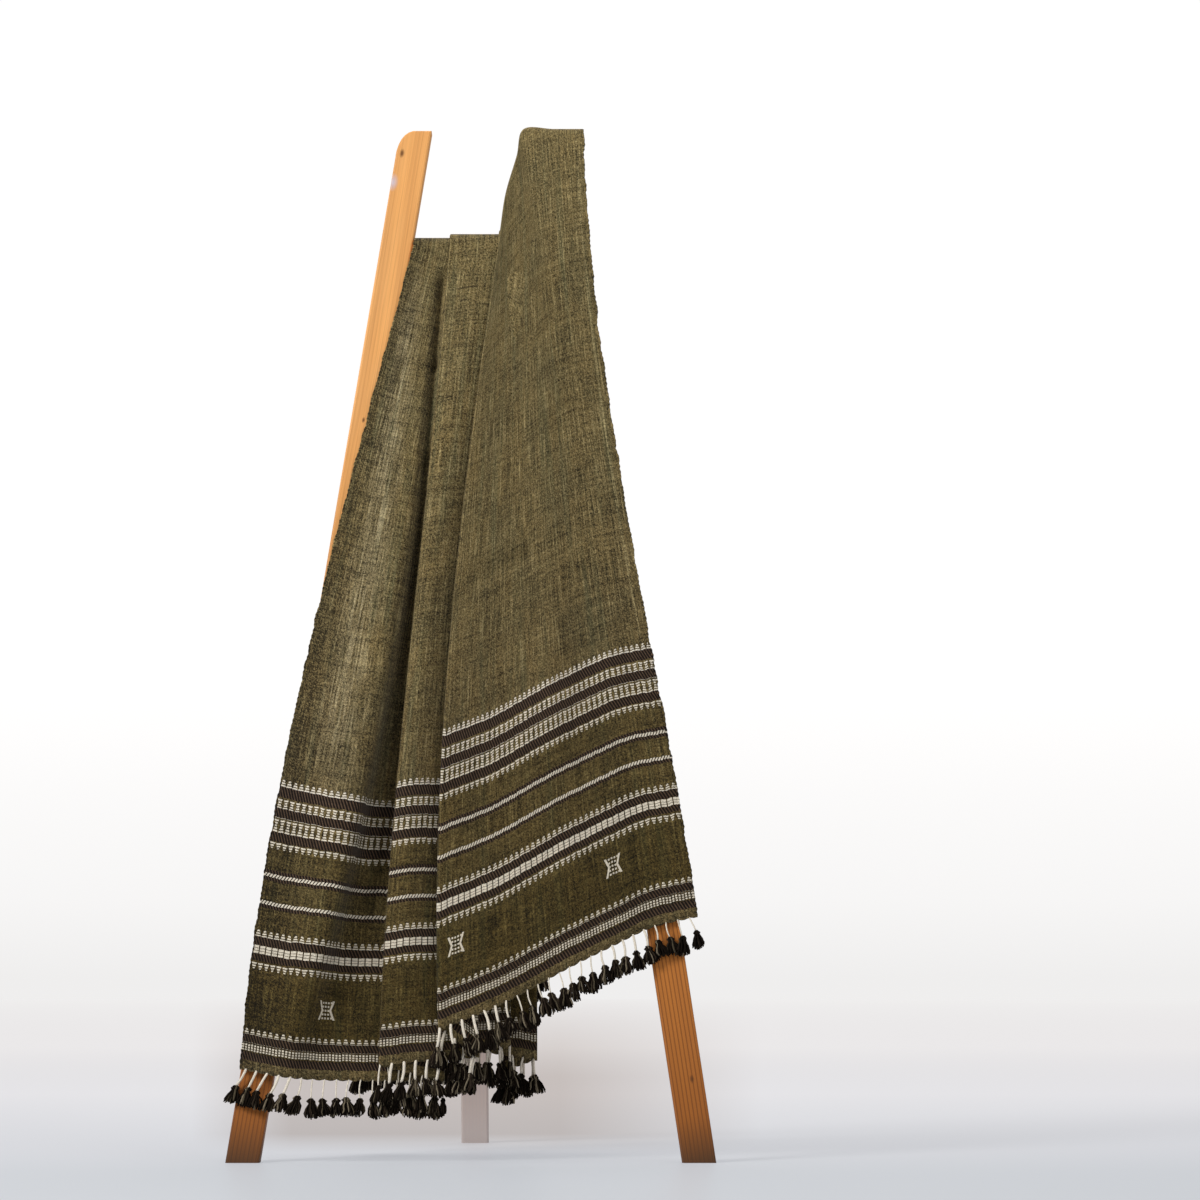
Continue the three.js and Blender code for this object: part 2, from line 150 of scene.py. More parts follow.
# White dashes: from, to, how much of the width they take at each, and how many rows.
DASHES = [
    (18.5, 26, 0.60, 0.60, 3), (34, 41.5, 0.92, 0.22, 3), (100.5, 108, 0.22, 0.92, 3),
    (116, 124, 0.82, 0.82, 3), (132, 139.5, 0.92, 0.22, 3), (218.5, 226, 0.22, 0.92, 3),
    (235.5, 242, 0.84, 0.36, 2.5), (242, 248.5, 0.36, 0.84, 2.5),
    (258.5, 263.5, 0.84, 0.36, 2.0), (263.5, 268.5, 0.36, 0.84, 2.0),
    (280, 287.5, 0.92, 0.22, 3),
]
MOST_ROWS = 8
DASH_PITCH, DASH_TALL, BLOCK_TALLER = 7.7, 0.62, 0.36
BEAD_PITCH, BEAD_TALL = 3.85, 0.70
ROPE_PITCH, ROPE_SLANT, ROPE_GAP = 3.9, 0.6, 0.36
RIB_PITCH, RIB_SLANT, RIB_FROM, RIB_SHARE = 3.7, 0.45, -0.1, 0.85
RIB_BROWN = (0.120, 0.075, 0.047)
# Stripes sway, over so many millimetres across and up, and each bead strays by itself.
SWAY, SWAY_GRAIN = 3.0, (40, 200)
STRAY, STRAY_DRAW = 0.9, 3.0
# Where the cloth pulls, its stripes lie higher: across it from, to, by how much and how curved.
PULLS = [(0, 120, 9.6, 1.0), (418, 830, 25.0, 1.3)]
PULL_FROM, PULL_OVER, PULL_MOST = 120, 215, 1.3

# Hourglass ornaments above the hem, one each ORNAMENT_PITCH.
ORNAMENT_PITCH, ORNAMENT_AT, ORNAMENT_HIGH = 212.0, 103, 83
ORNAMENT_HALF_TALL, ORNAMENT_LINE = 11.6, 1.3
ORNAMENT_WAIST, ORNAMENT_FLARE = 5.4, 0.36
SPOT_WIDE, SPOT_TALL = (3.8, 1.9, 0.60), (4.6, 1.2, 0.50)      # pitch, shift and share of it
SPOT_MARGIN = 1.4
# The second one is moved to the left, and those beyond RAISED_FROM lie higher.
MOVED_FROM, MOVED_TO, MOVED_BY = 200, 400, 16
RAISED_FROM, RAISED_BY = 420, 9.0

# Wool of the field
YARN = 1.2
COARSE_CELL, COARSE_DRIFT = (1.7, 1.5), 0.37
CROSSING_TONE, COARSE_TONE = 1.15, 0.4
# Streaks in the weave: how long across and up, where they start, and how much they lighten it.
Grain = namedtuple("Grain", "across up start detail tone")
GRAINS = {
    "warp": Grain(2.4, 60, 0, 1, 1.3), "weft": Grain(46, 2.3, 5, 1, 1.1),
    "warp band": Grain(14, 260, 0, 2, 0.9), "weft band": Grain(130, 9, 3, 2, 0.9),
    "patch": Grain(60, 85, 9, 2, 0),
}
GOLD_PATCHES = (-0.16, 0.18)
# Streaks of other dyes: which grain, where they begin and are full, how strong, which dye.
STREAKS = [
    ("warp band", 0.02, 0.20, 0.50, "moss"), ("weft", 0.10, 0.30, 0.30, "moss"),
    ("warp", 0.06, 0.26, 0.36, "straw"), ("warp", -0.06, -0.26, 0.32, "moss"),
    ("coarse", 0.62, 1.0, 0.24, "straw"), ("coarse", 0.30, 0.0, 0.32, "moss"),
]
# A streak worn pale beside the left edge, partly a painted highlight along the crown, which leans
# outwards near the top.
WEAR_HIGHLIGHT_AT, WEAR_HIGHLIGHT_LEAN, WEAR_HIGHLIGHT_SWAY = 60, 32, 25
WEAR_HIGHLIGHT_LEANS_OVER = (700, 1000)
WEAR_HIGHLIGHT_HALF_WIDE, WEAR_HIGHLIGHT_LOW, WEAR_HIGHLIGHT_HIGH = (34, 6), (300, 430), (1040, 920)
WEAR_HIGHLIGHT_YARNS, WEAR_HIGHLIGHT_SHARE = (-0.2, 0.2), 0.46
WEAR_HIGHLIGHT_WOOL = (0.27, 0.225, 0.14)
# A pale thread beside the right edge, and darker wool at the left one.
THREAD_AT, THREAD_HALF_WIDE, THREAD_YARNS, THREAD_SHARE = 818, (2.6, 1.4), (-0.25, 0.2), 0.5
EDGE_WIDE, EDGE_DARKER = (56, 16), 0.42
# Painted light and shade: how light the wool is painted above the hem, against its own colour,
# darker near the hem and lighter towards the crest. The painted shade is also warmer.
PAINTED_SHADING_UP = [(0, 1.0), (11, 1.0), (17, 0.49), (105, 0.49), (125, 0.64), (285, 0.72), (330, 0.98),
          (480, 1.18), (760, 1.32), (980, 1.38), (1100, 1.42)]
PAINTED_SHADING_END = 1200
PAINTED_SHADE_GREEN, PAINTED_SHADE_BLUE = 1.08, 1.6
# Painted light on the right-hand panel's upper part, which is lighter still: across the cloth from,
# and above the hem from and to.
PAINTED_LIGHT_FROM, PAINTED_LIGHT_LOW, PAINTED_LIGHT_HIGH, PAINTED_LIGHT = 420, 800, 1080, 0.22
# Dark slubs in the weave: across, above the hem, half width, half height, strength.
SLUBS = [
    (578, 97, 6, 9, 0.6), (352, 975, 17, 1.6, 0.7), (350, 958, 8, 1.6, 0.7),
    (604, 118, 3, 3, 0.5),
]
SLUB_RAGGED, SLUB_EDGE = 2, (1.4, 0.2)
TONE_LOW, TONE_HIGH = 0.2, 3.2
STRIPE_TONE, BROWN_TONE = 0.25, 0.8     # how much of the wool's unevenness the stripes keep
OVER_BUMP, CROSSING_BUMP, COARSE_BUMP, WHITE_BUMP = 0.5, 0.6, 0.5, 0.6
YARN_HIGH = 0.5
HAIR_CELL, HAIR_HIGH = (0.7, 0.7, 2.2), 0.4
HAIR_FROM, HAIR_TONE, HAIR_DARKEST = (0.25, 0.75), 0.5, 0.72

# Wood, in metres along each board from its foot. A coat: how strong it is, and its colour.
Coat = namedtuple("Coat", "share colour")
# The stain, dark stain and grime coats darken the boards towards the foot: partly real stain and
# grime, partly painted shade.
COATS = {
    "pale": Coat(0.35, (0.74, 0.43, 0.19)), "stain_and_shade": Coat(0.92, (0.46, 0.150, 0.020)),
    "dark_stain_and_shade": Coat(0.75, (0.18, 0.050, 0.006)), "grime_and_shade": Coat(0.85, (0.050, 0.026, 0.012)),
    # The last coat here is a pale bluish painted highlight.
    "knot": Coat(0.85, (0.09, 0.03, 0.008)), "painted_highlight": Coat(0.7, (0.50, 0.50, 0.62)),
}
# Late wood darkens more towards the foot, partly as painted shade.
LATE_WOOD, LATE_SHARE, LATE_STAIN_AND_SHADE = (0.12, 0.036, 0.008), 0.12, 0.55
PALE_PATCHES = (0.45, 0.75)
# Where the stain, its darkest part and the grime, each partly painted shade towards the foot, begin
# and are full, and how ragged.
STAIN_AND_SHADE, DARK_STAIN_AND_SHADE, GRIME_AND_SHADE = (0.66, 0.28), (0.26, 0.0), (0.055, 0.0)
STAIN_SHADE_RAGGED, GRIME_SHADE_RAGGED = 0.12, 0.03
# Grain of the wood: how fine across and along, and its detail.
BEND, FINE, MOTTLE = (9, 1.4, 1.0), (800, 9, 2.0), (26, 5, 3.0)
# Rings: how much of the depth counts, how close, how bent, and from where they show.
Rings = namedtuple("Rings", "deep close bent start")
NARROW, BROAD = Rings(0.6, 1300, 14.0, 0.25), Rings(-0.4, 230, 12.0, -0.6)
BROAD_SHARE, FINE_FROM, FINE_SHARE = 0.18, (0.42, 0.75), 0.28
FINE_BUMP, RING_BUMP, GRAIN_HIGH = 0.6, 0.2, 0.3
LIME_PALE, LIME, LIME_FADES = (0.54, 0.48, 0.46), (0.40, 0.34, 0.31), (0.02, 0.16)
LIMED = 0.85             # how far the rear leg is whitened
# Knots of the front legs: across, up and size. A pale bluish painted highlight near the left one's
# top.
LEFT_KNOTS = [(-0.012, 1.285, 0.0035), (-0.004, 0.93, 0.0022)]
RIGHT_KNOTS = [(0.006, 0.10, 0.003)]
KNOT_TALL, KNOT_CORE = 0.25, 0.3
HIGHLIGHT_AT, HIGHLIGHT_ASIDE, HIGHLIGHT_TALL, HIGHLIGHT_SIZE = 1.245, 0.017, 0.3, (0.007, 0.001)
FOOT_MIDDLE, BOARD_WIDE, RUNG_AT = 0.02, 0.0405, 1.1

# Fringe
YARNS = 30               # in a tassel
YARN_COLOURS = ((0.009, 0.006, 0.004), (0.030, 0.021, 0.014), (0.075, 0.060, 0.038),
                (0.19, 0.155, 0.105))
YARN_SHARES = (64, 17, 10, 9)
# A tassel's outline from its knot down: how far down it, how wide there, how thick its yarns.
TASSEL_SHAPE = [(-0.08, 0.20, 0.9), (0.08, 0.50, 1.3), (0.22, 0.38, 1.1), (0.50, 0.78, 1.35),
                (0.80, 1.00, 1.35), (1.0, 1.02, 0.9)]
YARN_TURN, YARN_SHORTER, YARN_SIDES = 2.4, 0.10, 3
TASSEL_DEEP, TASSEL_FLAT = 0.75, 0.4        # depth of one against its width, free or in a pleat
CORD_STEPS, CORD_SIDES, CORD_TWIST, CORD_ROOT = 6, 6, 0.08, 1.0
# How far single cords, tassels and yarns differ from each other.
VARY = {
    "lean": (-0.10, 0.10), "jut": (-0.04, 0.06), "bow": (-1.6, 1.6), "bulge": (0, 0.8),
    "cord": (0.92, 1.06), "wide": (0.86, 1.12), "long": (0.90, 1.06), "fall": (-0.26, 0.26),
    "turn": (-0.3, 0.3), "end": (-0.12, 0.08), "stray": (-1.0, 1.0), "stray out": (-0.5, 0.5),
    "selvage": (-0.25, 0.35),
}
# How far the cords lean sideways at the front hem, and where, across the cloth in millimetres.
LEANS = [(0, -0.55), (35, -0.45), (70, -0.18), (110, -0.06), (300, 0.0), (495, -0.25),
         (520, 0.10), (620, 0.22), (680, 0.05), (800, 0.10), (830, 0.30)]
# How thick the cords are against their usual width, along the front hem.
THICKNESSES = [(0, 1.2), (68, 1.2), (82, 0.6), (322, 0.6), (336, 1.2), (570, 1.2), (600, 0.6),
               (700, 0.6), (715, 1.0), (772, 1.0), (785, 0.6), (830, 0.6)]
SHORT_FROM, SHORTER = 560, 0.85     # across the front hem, from where the cords are shorter
PLEATS_FROM, PLEATS_TO = 0.2, 0.49  # shares of the width between which the pleats lie
FRONT_SEED, BACK_SEED = 11, 23
# Selvage: from bump to bump, its radius, and how much more and less by turns
SELVAGE_PITCH, SELVAGE_ROUND, SELVAGE_MORE, SELVAGE_LESS = 3.4, 1.25, 0.45, -0.2
SELVAGE_SIDES, SELVAGE_SEED = 5, 31

# Light
AMBIENT, AMBIENT_TINT = 0.42, (1.0, 0.99, 0.97, 1)
# Backdrop: how high it is seen, and how bright. Its green and blue are less.
SKY_GREEN, SKY_BLUE = 0.99, 0.985
SKY_TONES = [(0.0, 0.865), (0.0084, 0.888), (0.0234, 0.93), (0.0534, 0.97), (0.083, 1.02)]
# Floor: how far back, and the colour of its glow. The rest of its light falls on it.
FLOOR_GLOW = 0.55
FLOOR_PAINT = (0.80, 0.80, 0.81)
FLOOR_FROM, FLOOR_LONG = 2, 34
FLOOR_TONES = [
    (-2.0, (0.50, 0.54, 0.60)), (-0.45, (0.56, 0.60, 0.66)), (0.0, (0.66, 0.68, 0.74)),
    (2.1, (0.98, 0.97, 1.01)), (6.3, (1.19, 1.16, 1.17)), (29.0, (1.28, 1.26, 1.255)),
]
# The stand's soft shadow, painted on the floor. Bearings are sideways per metre away from
# SHADOW_EYE.
SHADOW_EYE = (0.154, -4.24)
SHADOW_BEARINGS = (-0.122, -0.092, -0.012, 0.048)
SHADOW_BACK = (0.0, 0.5, 3.2, 56.0)
SHADOW_DEPTH = (0.30, 0.36, 0.40)
LAMPS = [
    ("key", (-3.0, -3.0, 2.6), 1.6, 150),
    ("fill", (2.6, -3.6, 1.8), 2.5, 28),
    ("top", (0.2, 0.6, 3.4), 2.5, 40),
]
LAMPS_AIM = (0, -0.1, 0.65)
CAMERA_AT, CAMERA_UP = (0.154, -4.003, 0.220), 4.83      # from the front feet, and degrees


def length_of(name, description, default):
    return bpy.props.FloatProperty(
        name=name, description=description, default=default, unit="LENGTH")


def colour_of(name, description, default):
    return bpy.props.FloatVectorProperty(
        name=name, description=description, default=default, subtype="COLOR", size=3)


class ThrowSizes(bpy.types.PropertyGroup):
    """Sizes of the throw and its fringe."""

    width: length_of("Width", "Width of the cloth", 0.83)
    length: length_of("Length", "Length of the cloth without its fringe", 2.09)
    thickness: length_of("Thickness", "Thickness of the cloth", 0.0015)
    cord_length: length_of("Cord length", "From the hem to a tassel", 0.025)
    cord_width: length_of("Cord width", "Thickness of a cord", 0.0028)
    tassel_length: length_of("Tassel length", "Length of a tassel", 0.022)
    tassel_width: length_of("Tassel width", "Width of a tassel", 0.0180)


class Finishes(bpy.types.PropertyGroup):
    """Colours of the wool, the fringe and the wood."""

    olive: colour_of("Olive", "Main colour of the wool", (0.094, 0.069, 0.0295))
    gold: colour_of("Gold", "Warmer patches in the wool", (0.124, 0.086, 0.034))
    straw: colour_of("Straw", "Light yarns in the wool", (0.26, 0.205, 0.10))
    moss: colour_of("Moss", "Dark green yarns in the wool", (0.038, 0.041, 0.021))
    umber: colour_of("Umber", "Dark brown stripes", (0.009, 0.006, 0.004))
    cream: colour_of("Cream", "White yarns and cords", (0.72, 0.65, 0.54))
    pine: colour_of("Pine", "Wood of the stand", (0.80, 0.385, 0.120))
    pine_dark: colour_of("Dark pine", "Grain and stained feet", (0.26, 0.085, 0.018))


def sizes():
    return bpy.context.scene.throw_sizes


def finishes():
    return bpy.context.scene.throw_finishes


# Shape of the throw

def on_frame(x, t, n):
    """A point of the leaning front frame: x across, t up along it, n out of it."""
    return np.array([x, t * SIN - n * COS, t * COS + n * SIN])


def between(values, s):
    """Smooth value between the hem, a third, two thirds and the crest."""
    v0, v1, v2, v3 = values
    k = 3 * s
    return (-v0 * (k - 1) * (k - 2) * (k - 3) / 6 + v1 * k * (k - 2) * (k - 3) / 2
            - v2 * k * (k - 1) * (k - 3) / 2 + v3 * k * (k - 1) * (k - 2) / 6)


def lerp(a, b, s):
    return a + (b - a) * s


def crest_of(line):
    """Middle of a line's arc over the rung or the leg's top, and its reach out and up."""
    out = CREST_ROUND + LAYER * line.layer
    if line.crest is None:
        return RUNG_T, out, out
    rest = LEG_REST + CAD_THICK / 2 if line.box == 3 else 0
    return line.crest / COS + rest - CREST_ROUND, out, CREST_ROUND


def fold_shift(line, angle, half):
    """Way round the edge of a fold, from under it at -90 degrees to over it at 90."""
    if line.turn == 0:
        return 0.0, 0.0
    return line.turn * half * (math.cos(angle) - 1), half * math.sin(angle)


def front_point(line, angle, s):
    t_crest, out, _ = crest_of(line)
    n = between((*line.n, MID_N + out), s)
    x0, x1 = LINES[0].x[0], LINES[-1].x[0]
    sag = SAG * (1 - s) * math.sin(math.pi * (line.x[0] - x0) / (x1 - x0))
    across, off = fold_shift(line, angle, lerp(line.gap, LAYER, s) / 2)
    t = lerp((line.z - n * SIN) / COS, t_crest, s)
    return on_frame(between(line.x, s) + across, t, n - sag + off)


def signed_power(value, box):
    return math.copysign(abs(value) ** (2 / box), value)


def crest_point(line, angle, turn):
    t_crest, out, up = crest_of(line)
    across, off = fold_shift(line, angle, LAYER / 2)
    n = MID_N + (out + off) * signed_power(math.cos(turn), line.box)
    t = t_crest + (up + off) * signed_power(math.sin(turn), line.box)
    return on_frame(line.x[3] + across, t, n)


def back_point(line, angle, s):
    top = crest_point(line._replace(turn=0), 0, math.pi)
    across, off = fold_shift(line, angle, lerp(LAYER, line.gap, s) / 2)
    swing = s * s * (3 - s) / 2
    return np.array([lerp(top[0], line.xb, swing) + across, top[1] + line.yb * swing + off,
                     lerp(top[2], line.zb, s)])


def walk(points):
    """How far along the row of points each of them is."""
    return np.concatenate([[0], np.cumsum(np.linalg.norm(np.diff(points, axis=0), axis=1))])


def points_at(at, places, values):
    """Points or ways between those at the given places."""
    return np.stack([np.interp(at, places, values[:, axis]) for axis in range(3)], axis=1)


def smooth_run(points, steps):
    """A smooth curve through the points, cut into pieces of even length."""
    dense = []
    padded = [2 * points[0] - points[1], *points, 2 * points[-1] - points[-2]]
    for p0, p1, p2, p3 in zip(padded, padded[1:], padded[2:], padded[3:]):
        d0, d1, d2 = (max(np.linalg.norm(b - a), 1e-4) ** 0.5
                      for a, b in ((p0, p1), (p1, p2), (p2, p3)))
        m1 = ((p1 - p0) / d0 - (p2 - p0) / (d0 + d1) + (p2 - p1) / d1) * d1
        m2 = ((p2 - p1) / d1 - (p3 - p1) / (d1 + d2) + (p3 - p2) / d2) * d1
        k = np.linspace(0, 1, SMOOTH_STEPS, endpoint=False)[:, None]
        dense.append(p1 + m1 * k + (-3 * p1 + 3 * p2 - 2 * m1 - m2) * k ** 2
                     + (2 * p1 - 2 * p2 + m1 + m2) * k ** 3)
    dense = np.vstack([*dense, points[-1][None]])
    walked = walk(dense)
    return points_at(np.linspace(0, walked[-1], steps + 1), walked, dense)


def panels(point_of):
    """Points of each panel of one course, from one fold to the next."""
    quarter = math.pi / 2
    runs, run = [], []
    for line in LINES:
        if line.turn == 0:
            run.append(point_of(line, 0))
        else:
            run.append(point_of(line, -quarter))
            runs.append(run)
            run = [point_of(line, quarter)]
    return [*runs, run]


def course(point_of, steps):
    """One course across the throw: smooth along each panel, round at each fold."""
    folds = [line for line in LINES if line.turn != 0]
    parts = []
    for k, run in enumerate(panels(point_of)):
        parts.append(smooth_run(run, steps[k]))
        if k < len(folds):
            angles = np.linspace(-math.pi / 2, math.pi / 2, FOLD_STEPS + 1)[1:-1]
            parts.append(np.array([point_of(folds[k], a) for a in angles]))
    return np.vstack(parts)


def throw_grid():
    """Middle surface of the cloth, in rows from the front hem over the crest to the back hem.

    Also says which panel each column belongs to, counted from the left edge.
    """
    hem = panels(lambda line, a: front_point(line, a, 0))
    lengths = [sum(np.linalg.norm(b - a) for a, b in zip(run, run[1:])) for run in hem]
    steps = [max(4, round(length / COLUMN)) for length in lengths]
    stretches = (
        (front_point, [i / FRONT_ROWS for i in range(FRONT_ROWS)]),
        (crest_point, [math.pi * i / CREST_ROWS for i in range(CREST_ROWS + 1)]),
        (back_point, [i / BACK_ROWS for i in range(1, BACK_ROWS + 1)]),
    )
    rows = [course(lambda line, a, point_of=point_of, s=s: point_of(line, a, s), steps)
            for point_of, places in stretches for s in places]
    folds = [FOLD_STEPS - 1] * (len(steps) - 1) + [0]
    owners = np.repeat(np.arange(len(steps)), [a + 1 + b for a, b in zip(steps, folds)])
    return np.array(rows), owners


def outward(grid):
    along = np.gradient(grid, axis=1)
    up = np.gradient(grid, axis=0)
    normal = np.cross(along, up)
    return normal / np.maximum(np.linalg.norm(normal, axis=2, keepdims=True), 1e-9)


def distance_to_line(x, z, a, b):
    dx, dz = b[0] - a[0], b[1] - a[1]
    k = np.clip(((x - a[0]) * dx + (z - a[1]) * dz) / (dx * dx + dz * dz), 0, 1)
    return np.hypot(x - a[0] - k * dx, z - a[1] - k * dz)


def hand_of_cloth(grid, owners):
    """Slight unevenness of hung wool, the same for layers that lie on each other."""
    x, z = grid[:, :, 0], grid[:, :, 2]
    low = np.clip((WAVES_UP_TO - z) / WAVES_FADE, 0, 1)
    soft = sum(tall * np.sin(x / wide + z / high + start) for tall, wide, high, start in WAVES)
    push = -soft * low * WAVES_DEEP
    front = np.arange(grid.shape[0])[:, None] < FRONT_ROWS
    for a, b, wide, deep, panel in CREASES:
        pressed = front if panel is None else front & (owners == panel)
        push = push + deep * np.exp(-(distance_to_line(x, z, a, b) / wide) ** 2) * pressed
    moved = grid.copy()
    moved[:, :, 1] += push
    return moved


def cloth_coordinates(grid, width):
    """Across the cloth and up from the nearer hem, both along the cloth."""
    u = walk(grid[0])
    u = u * width / u[-1]
    step = np.linalg.norm(np.diff(grid, axis=0), axis=2)
    rise = np.vstack([np.zeros((1, grid.shape[1])), np.cumsum(step, axis=0)])
    v = np.minimum(rise, rise[-1] - rise)
    for start, end, pull, power in PULLS:
        share = np.clip((end - u) / (end - start), 0, 1) ** power * (u >= start)
        v = v - pull * share * np.clip((v - PULL_FROM) / PULL_OVER, 0, PULL_MOST)
    return u, v


def only(thing):
    bpy.ops.object.select_all(action="DESELECT")
    thing.select_set(True)
    bpy.context.view_layer.objects.active = thing


def new_object(name, data):
    made = bpy.data.objects.new(name, data)
    bpy.context.scene.collection.objects.link(made)
    return made


def mesh_object(name, points, faces):
    """A smooth mesh from points in the part's own millimetres."""
    placed = (np.asarray(points) + [0, FEET_Y, 0]) * MM
    mesh = bpy.data.meshes.new(name)
    mesh.from_pydata(placed.tolist(), [], faces)
    mesh.update()
    made = new_object(name, mesh)
    only(made)
    bpy.ops.object.shade_smooth()
    return made


def hung_cloth():
    """The throw's surface as it hangs, with its coordinates along the cloth."""
    plain, owners = throw_grid()
    u, v = cloth_coordinates(plain, sizes().width / MM)
    grid = hand_of_cloth(plain, owners)
    draw = np.random.default_rng(EDGE_SEED)
    for column, side in ((0, -1), (-1, 1)):
        grid[:, column, 0] += side * draw.normal(0, EDGE_STRAY, grid.shape[0])
    return grid, u, v


def scalloped(grid, u):
    """The same surface with its two hems hanging in small arcs between the cords."""
    arc = np.abs(np.sin(math.pi * (u - CORD_PITCH / 2) / CORD_PITCH))
    lobe = arc ** SCALLOP_ROUND * SCALLOP
    shaped = grid.copy()
    for hem, above in ((0, 1), (-1, -2)):
        down = grid[hem] - grid[above]
        down /= np.linalg.norm(down, axis=1, keepdims=True)
        shaped[hem] += down * (lobe - SCALLOP_UP * SCALLOP)[:, None]
    return shaped


# Materials

def node_for(operation, turned=False):
    """A sign or a function of wires that is one Math node."""
    def made(wire, *other):
        inputs = (*other, wire) if turned else (wire, *other)
        return wire.look.math(operation, *inputs)
    return made


class Wire:
    """An output of a node, so that formulas can be written with plain signs."""

    def __init__(self, look, socket):
        self.look = look
        self.socket = socket

    __add__ = __radd__ = node_for("ADD")
    __sub__ = node_for("SUBTRACT")
    __rsub__ = node_for("SUBTRACT", turned=True)
    __mul__ = __rmul__ = node_for("MULTIPLY")
    __truediv__ = node_for("DIVIDE")
    __rtruediv__ = node_for("DIVIDE", turned=True)
    __lt__ = node_for("LESS_THAN")
    __gt__ = node_for("GREATER_THAN")
    floor = node_for("FLOOR")
    part = node_for("FRACT")
    size = node_for("ABSOLUTE")
    sine = node_for("SINE")


class Nodes:
    """A node tree that is built up from wires."""

    def __init__(self, tree):
        self.tree = tree

    def node(self, kind, inputs=(), **settings):
        made = self.tree.nodes.new(kind)
        for name, value in settings.items():
            setattr(made, name, value)
        for key, value in dict(inputs).items():
            self.join(made.inputs[key], value)
        return made

    def join(self, socket, value):
        if isinstance(value, Wire):
            self.tree.links.new(value.socket, socket)
        elif value is not None:
            socket.default_value = value

    def wire(self, kind, inputs=(), output=0, **settings):
        return Wire(self, self.node(kind, inputs, **settings).outputs[output])

    def math(self, operation, a, b=None):
        return self.wire("ShaderNodeMath", {0: a, 1: b}, operation=operation)

    def here(self):
        """Place in the scene, which is the object's own, because every object sits at 0."""
        return self.node("ShaderNodeTexCoord").outputs["Object"]

    def split(self, socket):
        parts = self.node("ShaderNodeSeparateXYZ")
        self.tree.links.new(socket, parts.inputs[0])
        return [Wire(self, out) for out in parts.outputs]

    def vector(self, x, y, z=0.0):
        return self.wire("ShaderNodeCombineXYZ", {0: x, 1: y, 2: z})

    def noise(self, vector, detail=2.0):
        inputs = {"Vector": vector, "Scale": 1.0, "Detail": detail}
        return self.wire("ShaderNodeTexNoise", inputs, "Fac")

    def random(self, vector):
        return self.wire("ShaderNodeTexWhiteNoise", {"Vector": vector}, "Value",
                         noise_dimensions="2D")

    def smallest(self, *wires):
        """All of these at once."""
        return reduce(partial(self.math, "MINIMUM"), wires)

    def largest(self, *wires):
        return reduce(partial(self.math, "MAXIMUM"), wires)

    def spread(self, value, low, high):
        """Takes low to high up to the whole of 0 to 1, and clamps."""
        return self.wire("ShaderNodeMapRange", {0: value, 1: low, 2: high}, clamp=True)

    def mix(self, share, a, b, blend="MIX"):
        a, b = (colour if isinstance(colour, Wire) else (*colour, 1) for colour in (a, b))
        return self.wire("ShaderNodeMix", {0: share, 6: a, 7: b}, 2, data_type="RGBA",
                         blend_type=blend)

    def tint(self, colour, by):
        return self.mix(1.0, colour, by, "MULTIPLY")

    def ramp(self, value, stops, interpolation="CONSTANT"):
        made = self.node("ShaderNodeValToRGB", {0: value})
        made.color_ramp.interpolation = interpolation
        elements = made.color_ramp.elements
        elements.remove(elements[1])
        elements[0].position = stops[0][0]
        elements[0].color = stops[0][1]
        for place, colour in stops[1:]:
            elements.new(place).color = colour
        return [Wire(self, output) for output in made.outputs]


class Look(Nodes):
    """A material with one shader."""

    def __init__(self, name, roughness, **shader):
        self.material = bpy.data.materials.new(name)
        self.material.use_nodes = True
        super().__init__(self.material.node_tree)
        self.shader = self.tree.nodes["Principled BSDF"]
        for key, value in {"Roughness": roughness, **shader}.items():
            self.shader.inputs[key.replace("_", " ")].default_value = value

    def bump(self, height, distance, strength=1.0):
        made = self.node("ShaderNodeBump", {"Height": height, "Distance": distance,
                                            "Strength": strength})
        self.tree.links.new(made.outputs[0], self.shader.inputs["Normal"])

    def colour(self, wire):
        self.tree.links.new(wire.socket, self.shader.inputs["Base Color"])


def field_colour(look, dye, u, v, grain):
    """Plain wool with its streaks of other dyes, its worn place, which is partly a painted
    highlight, and its pale thread.
    """
    field = look.mix(look.spread(grain["patch"], *GOLD_PATCHES), dye.olive, dye.gold)
    for name, start, full, share, other in STREAKS:
        field = look.mix(look.spread(grain[name], start, full) * share, field,
                         getattr(dye, other))
    # Worn pale streak, partly a painted highlight along the crown.
    wear_highlight_at = WEAR_HIGHLIGHT_AT - look.spread(v, *WEAR_HIGHLIGHT_LEANS_OVER) * WEAR_HIGHLIGHT_LEAN - grain["patch"] * WEAR_HIGHLIGHT_SWAY
    wear_and_highlight = (look.spread((u - wear_highlight_at).size(), *WEAR_HIGHLIGHT_HALF_WIDE) * look.spread(v, *WEAR_HIGHLIGHT_LOW)
            * look.spread(v, *WEAR_HIGHLIGHT_HIGH))
    wear_and_highlight = wear_and_highlight * look.spread(grain["warp"], *WEAR_HIGHLIGHT_YARNS) * WEAR_HIGHLIGHT_SHARE
    field = look.mix(wear_and_highlight, field, WEAR_HIGHLIGHT_WOOL)
    thread = (look.spread((u - THREAD_AT).size(), *THREAD_HALF_WIDE)
              * look.spread(grain["warp"] + grain["weft"], *THREAD_YARNS))
    return look.mix(thread * THREAD_SHARE, field, dye.straw)


def field_tone(look, u, v, grain, crossing):
    """How much lighter or darker than its dye each yarn is, with painted light on the right-hand
    panel's upper part.
    """
    tone = 1.0 + (crossing - 0.5) * CROSSING_TONE + (grain["coarse"] - 0.5) * COARSE_TONE
    for name, streak in GRAINS.items():
        if streak.tone:
            tone = tone + grain[name] * streak.tone
    tone = tone - look.spread(u, *EDGE_WIDE) * EDGE_DARKER
    # Painted light on the right-hand panel's upper part.
    return tone + (u > PAINTED_LIGHT_FROM) * look.spread(v, PAINTED_LIGHT_LOW, PAINTED_LIGHT_HIGH) * PAINTED_LIGHT


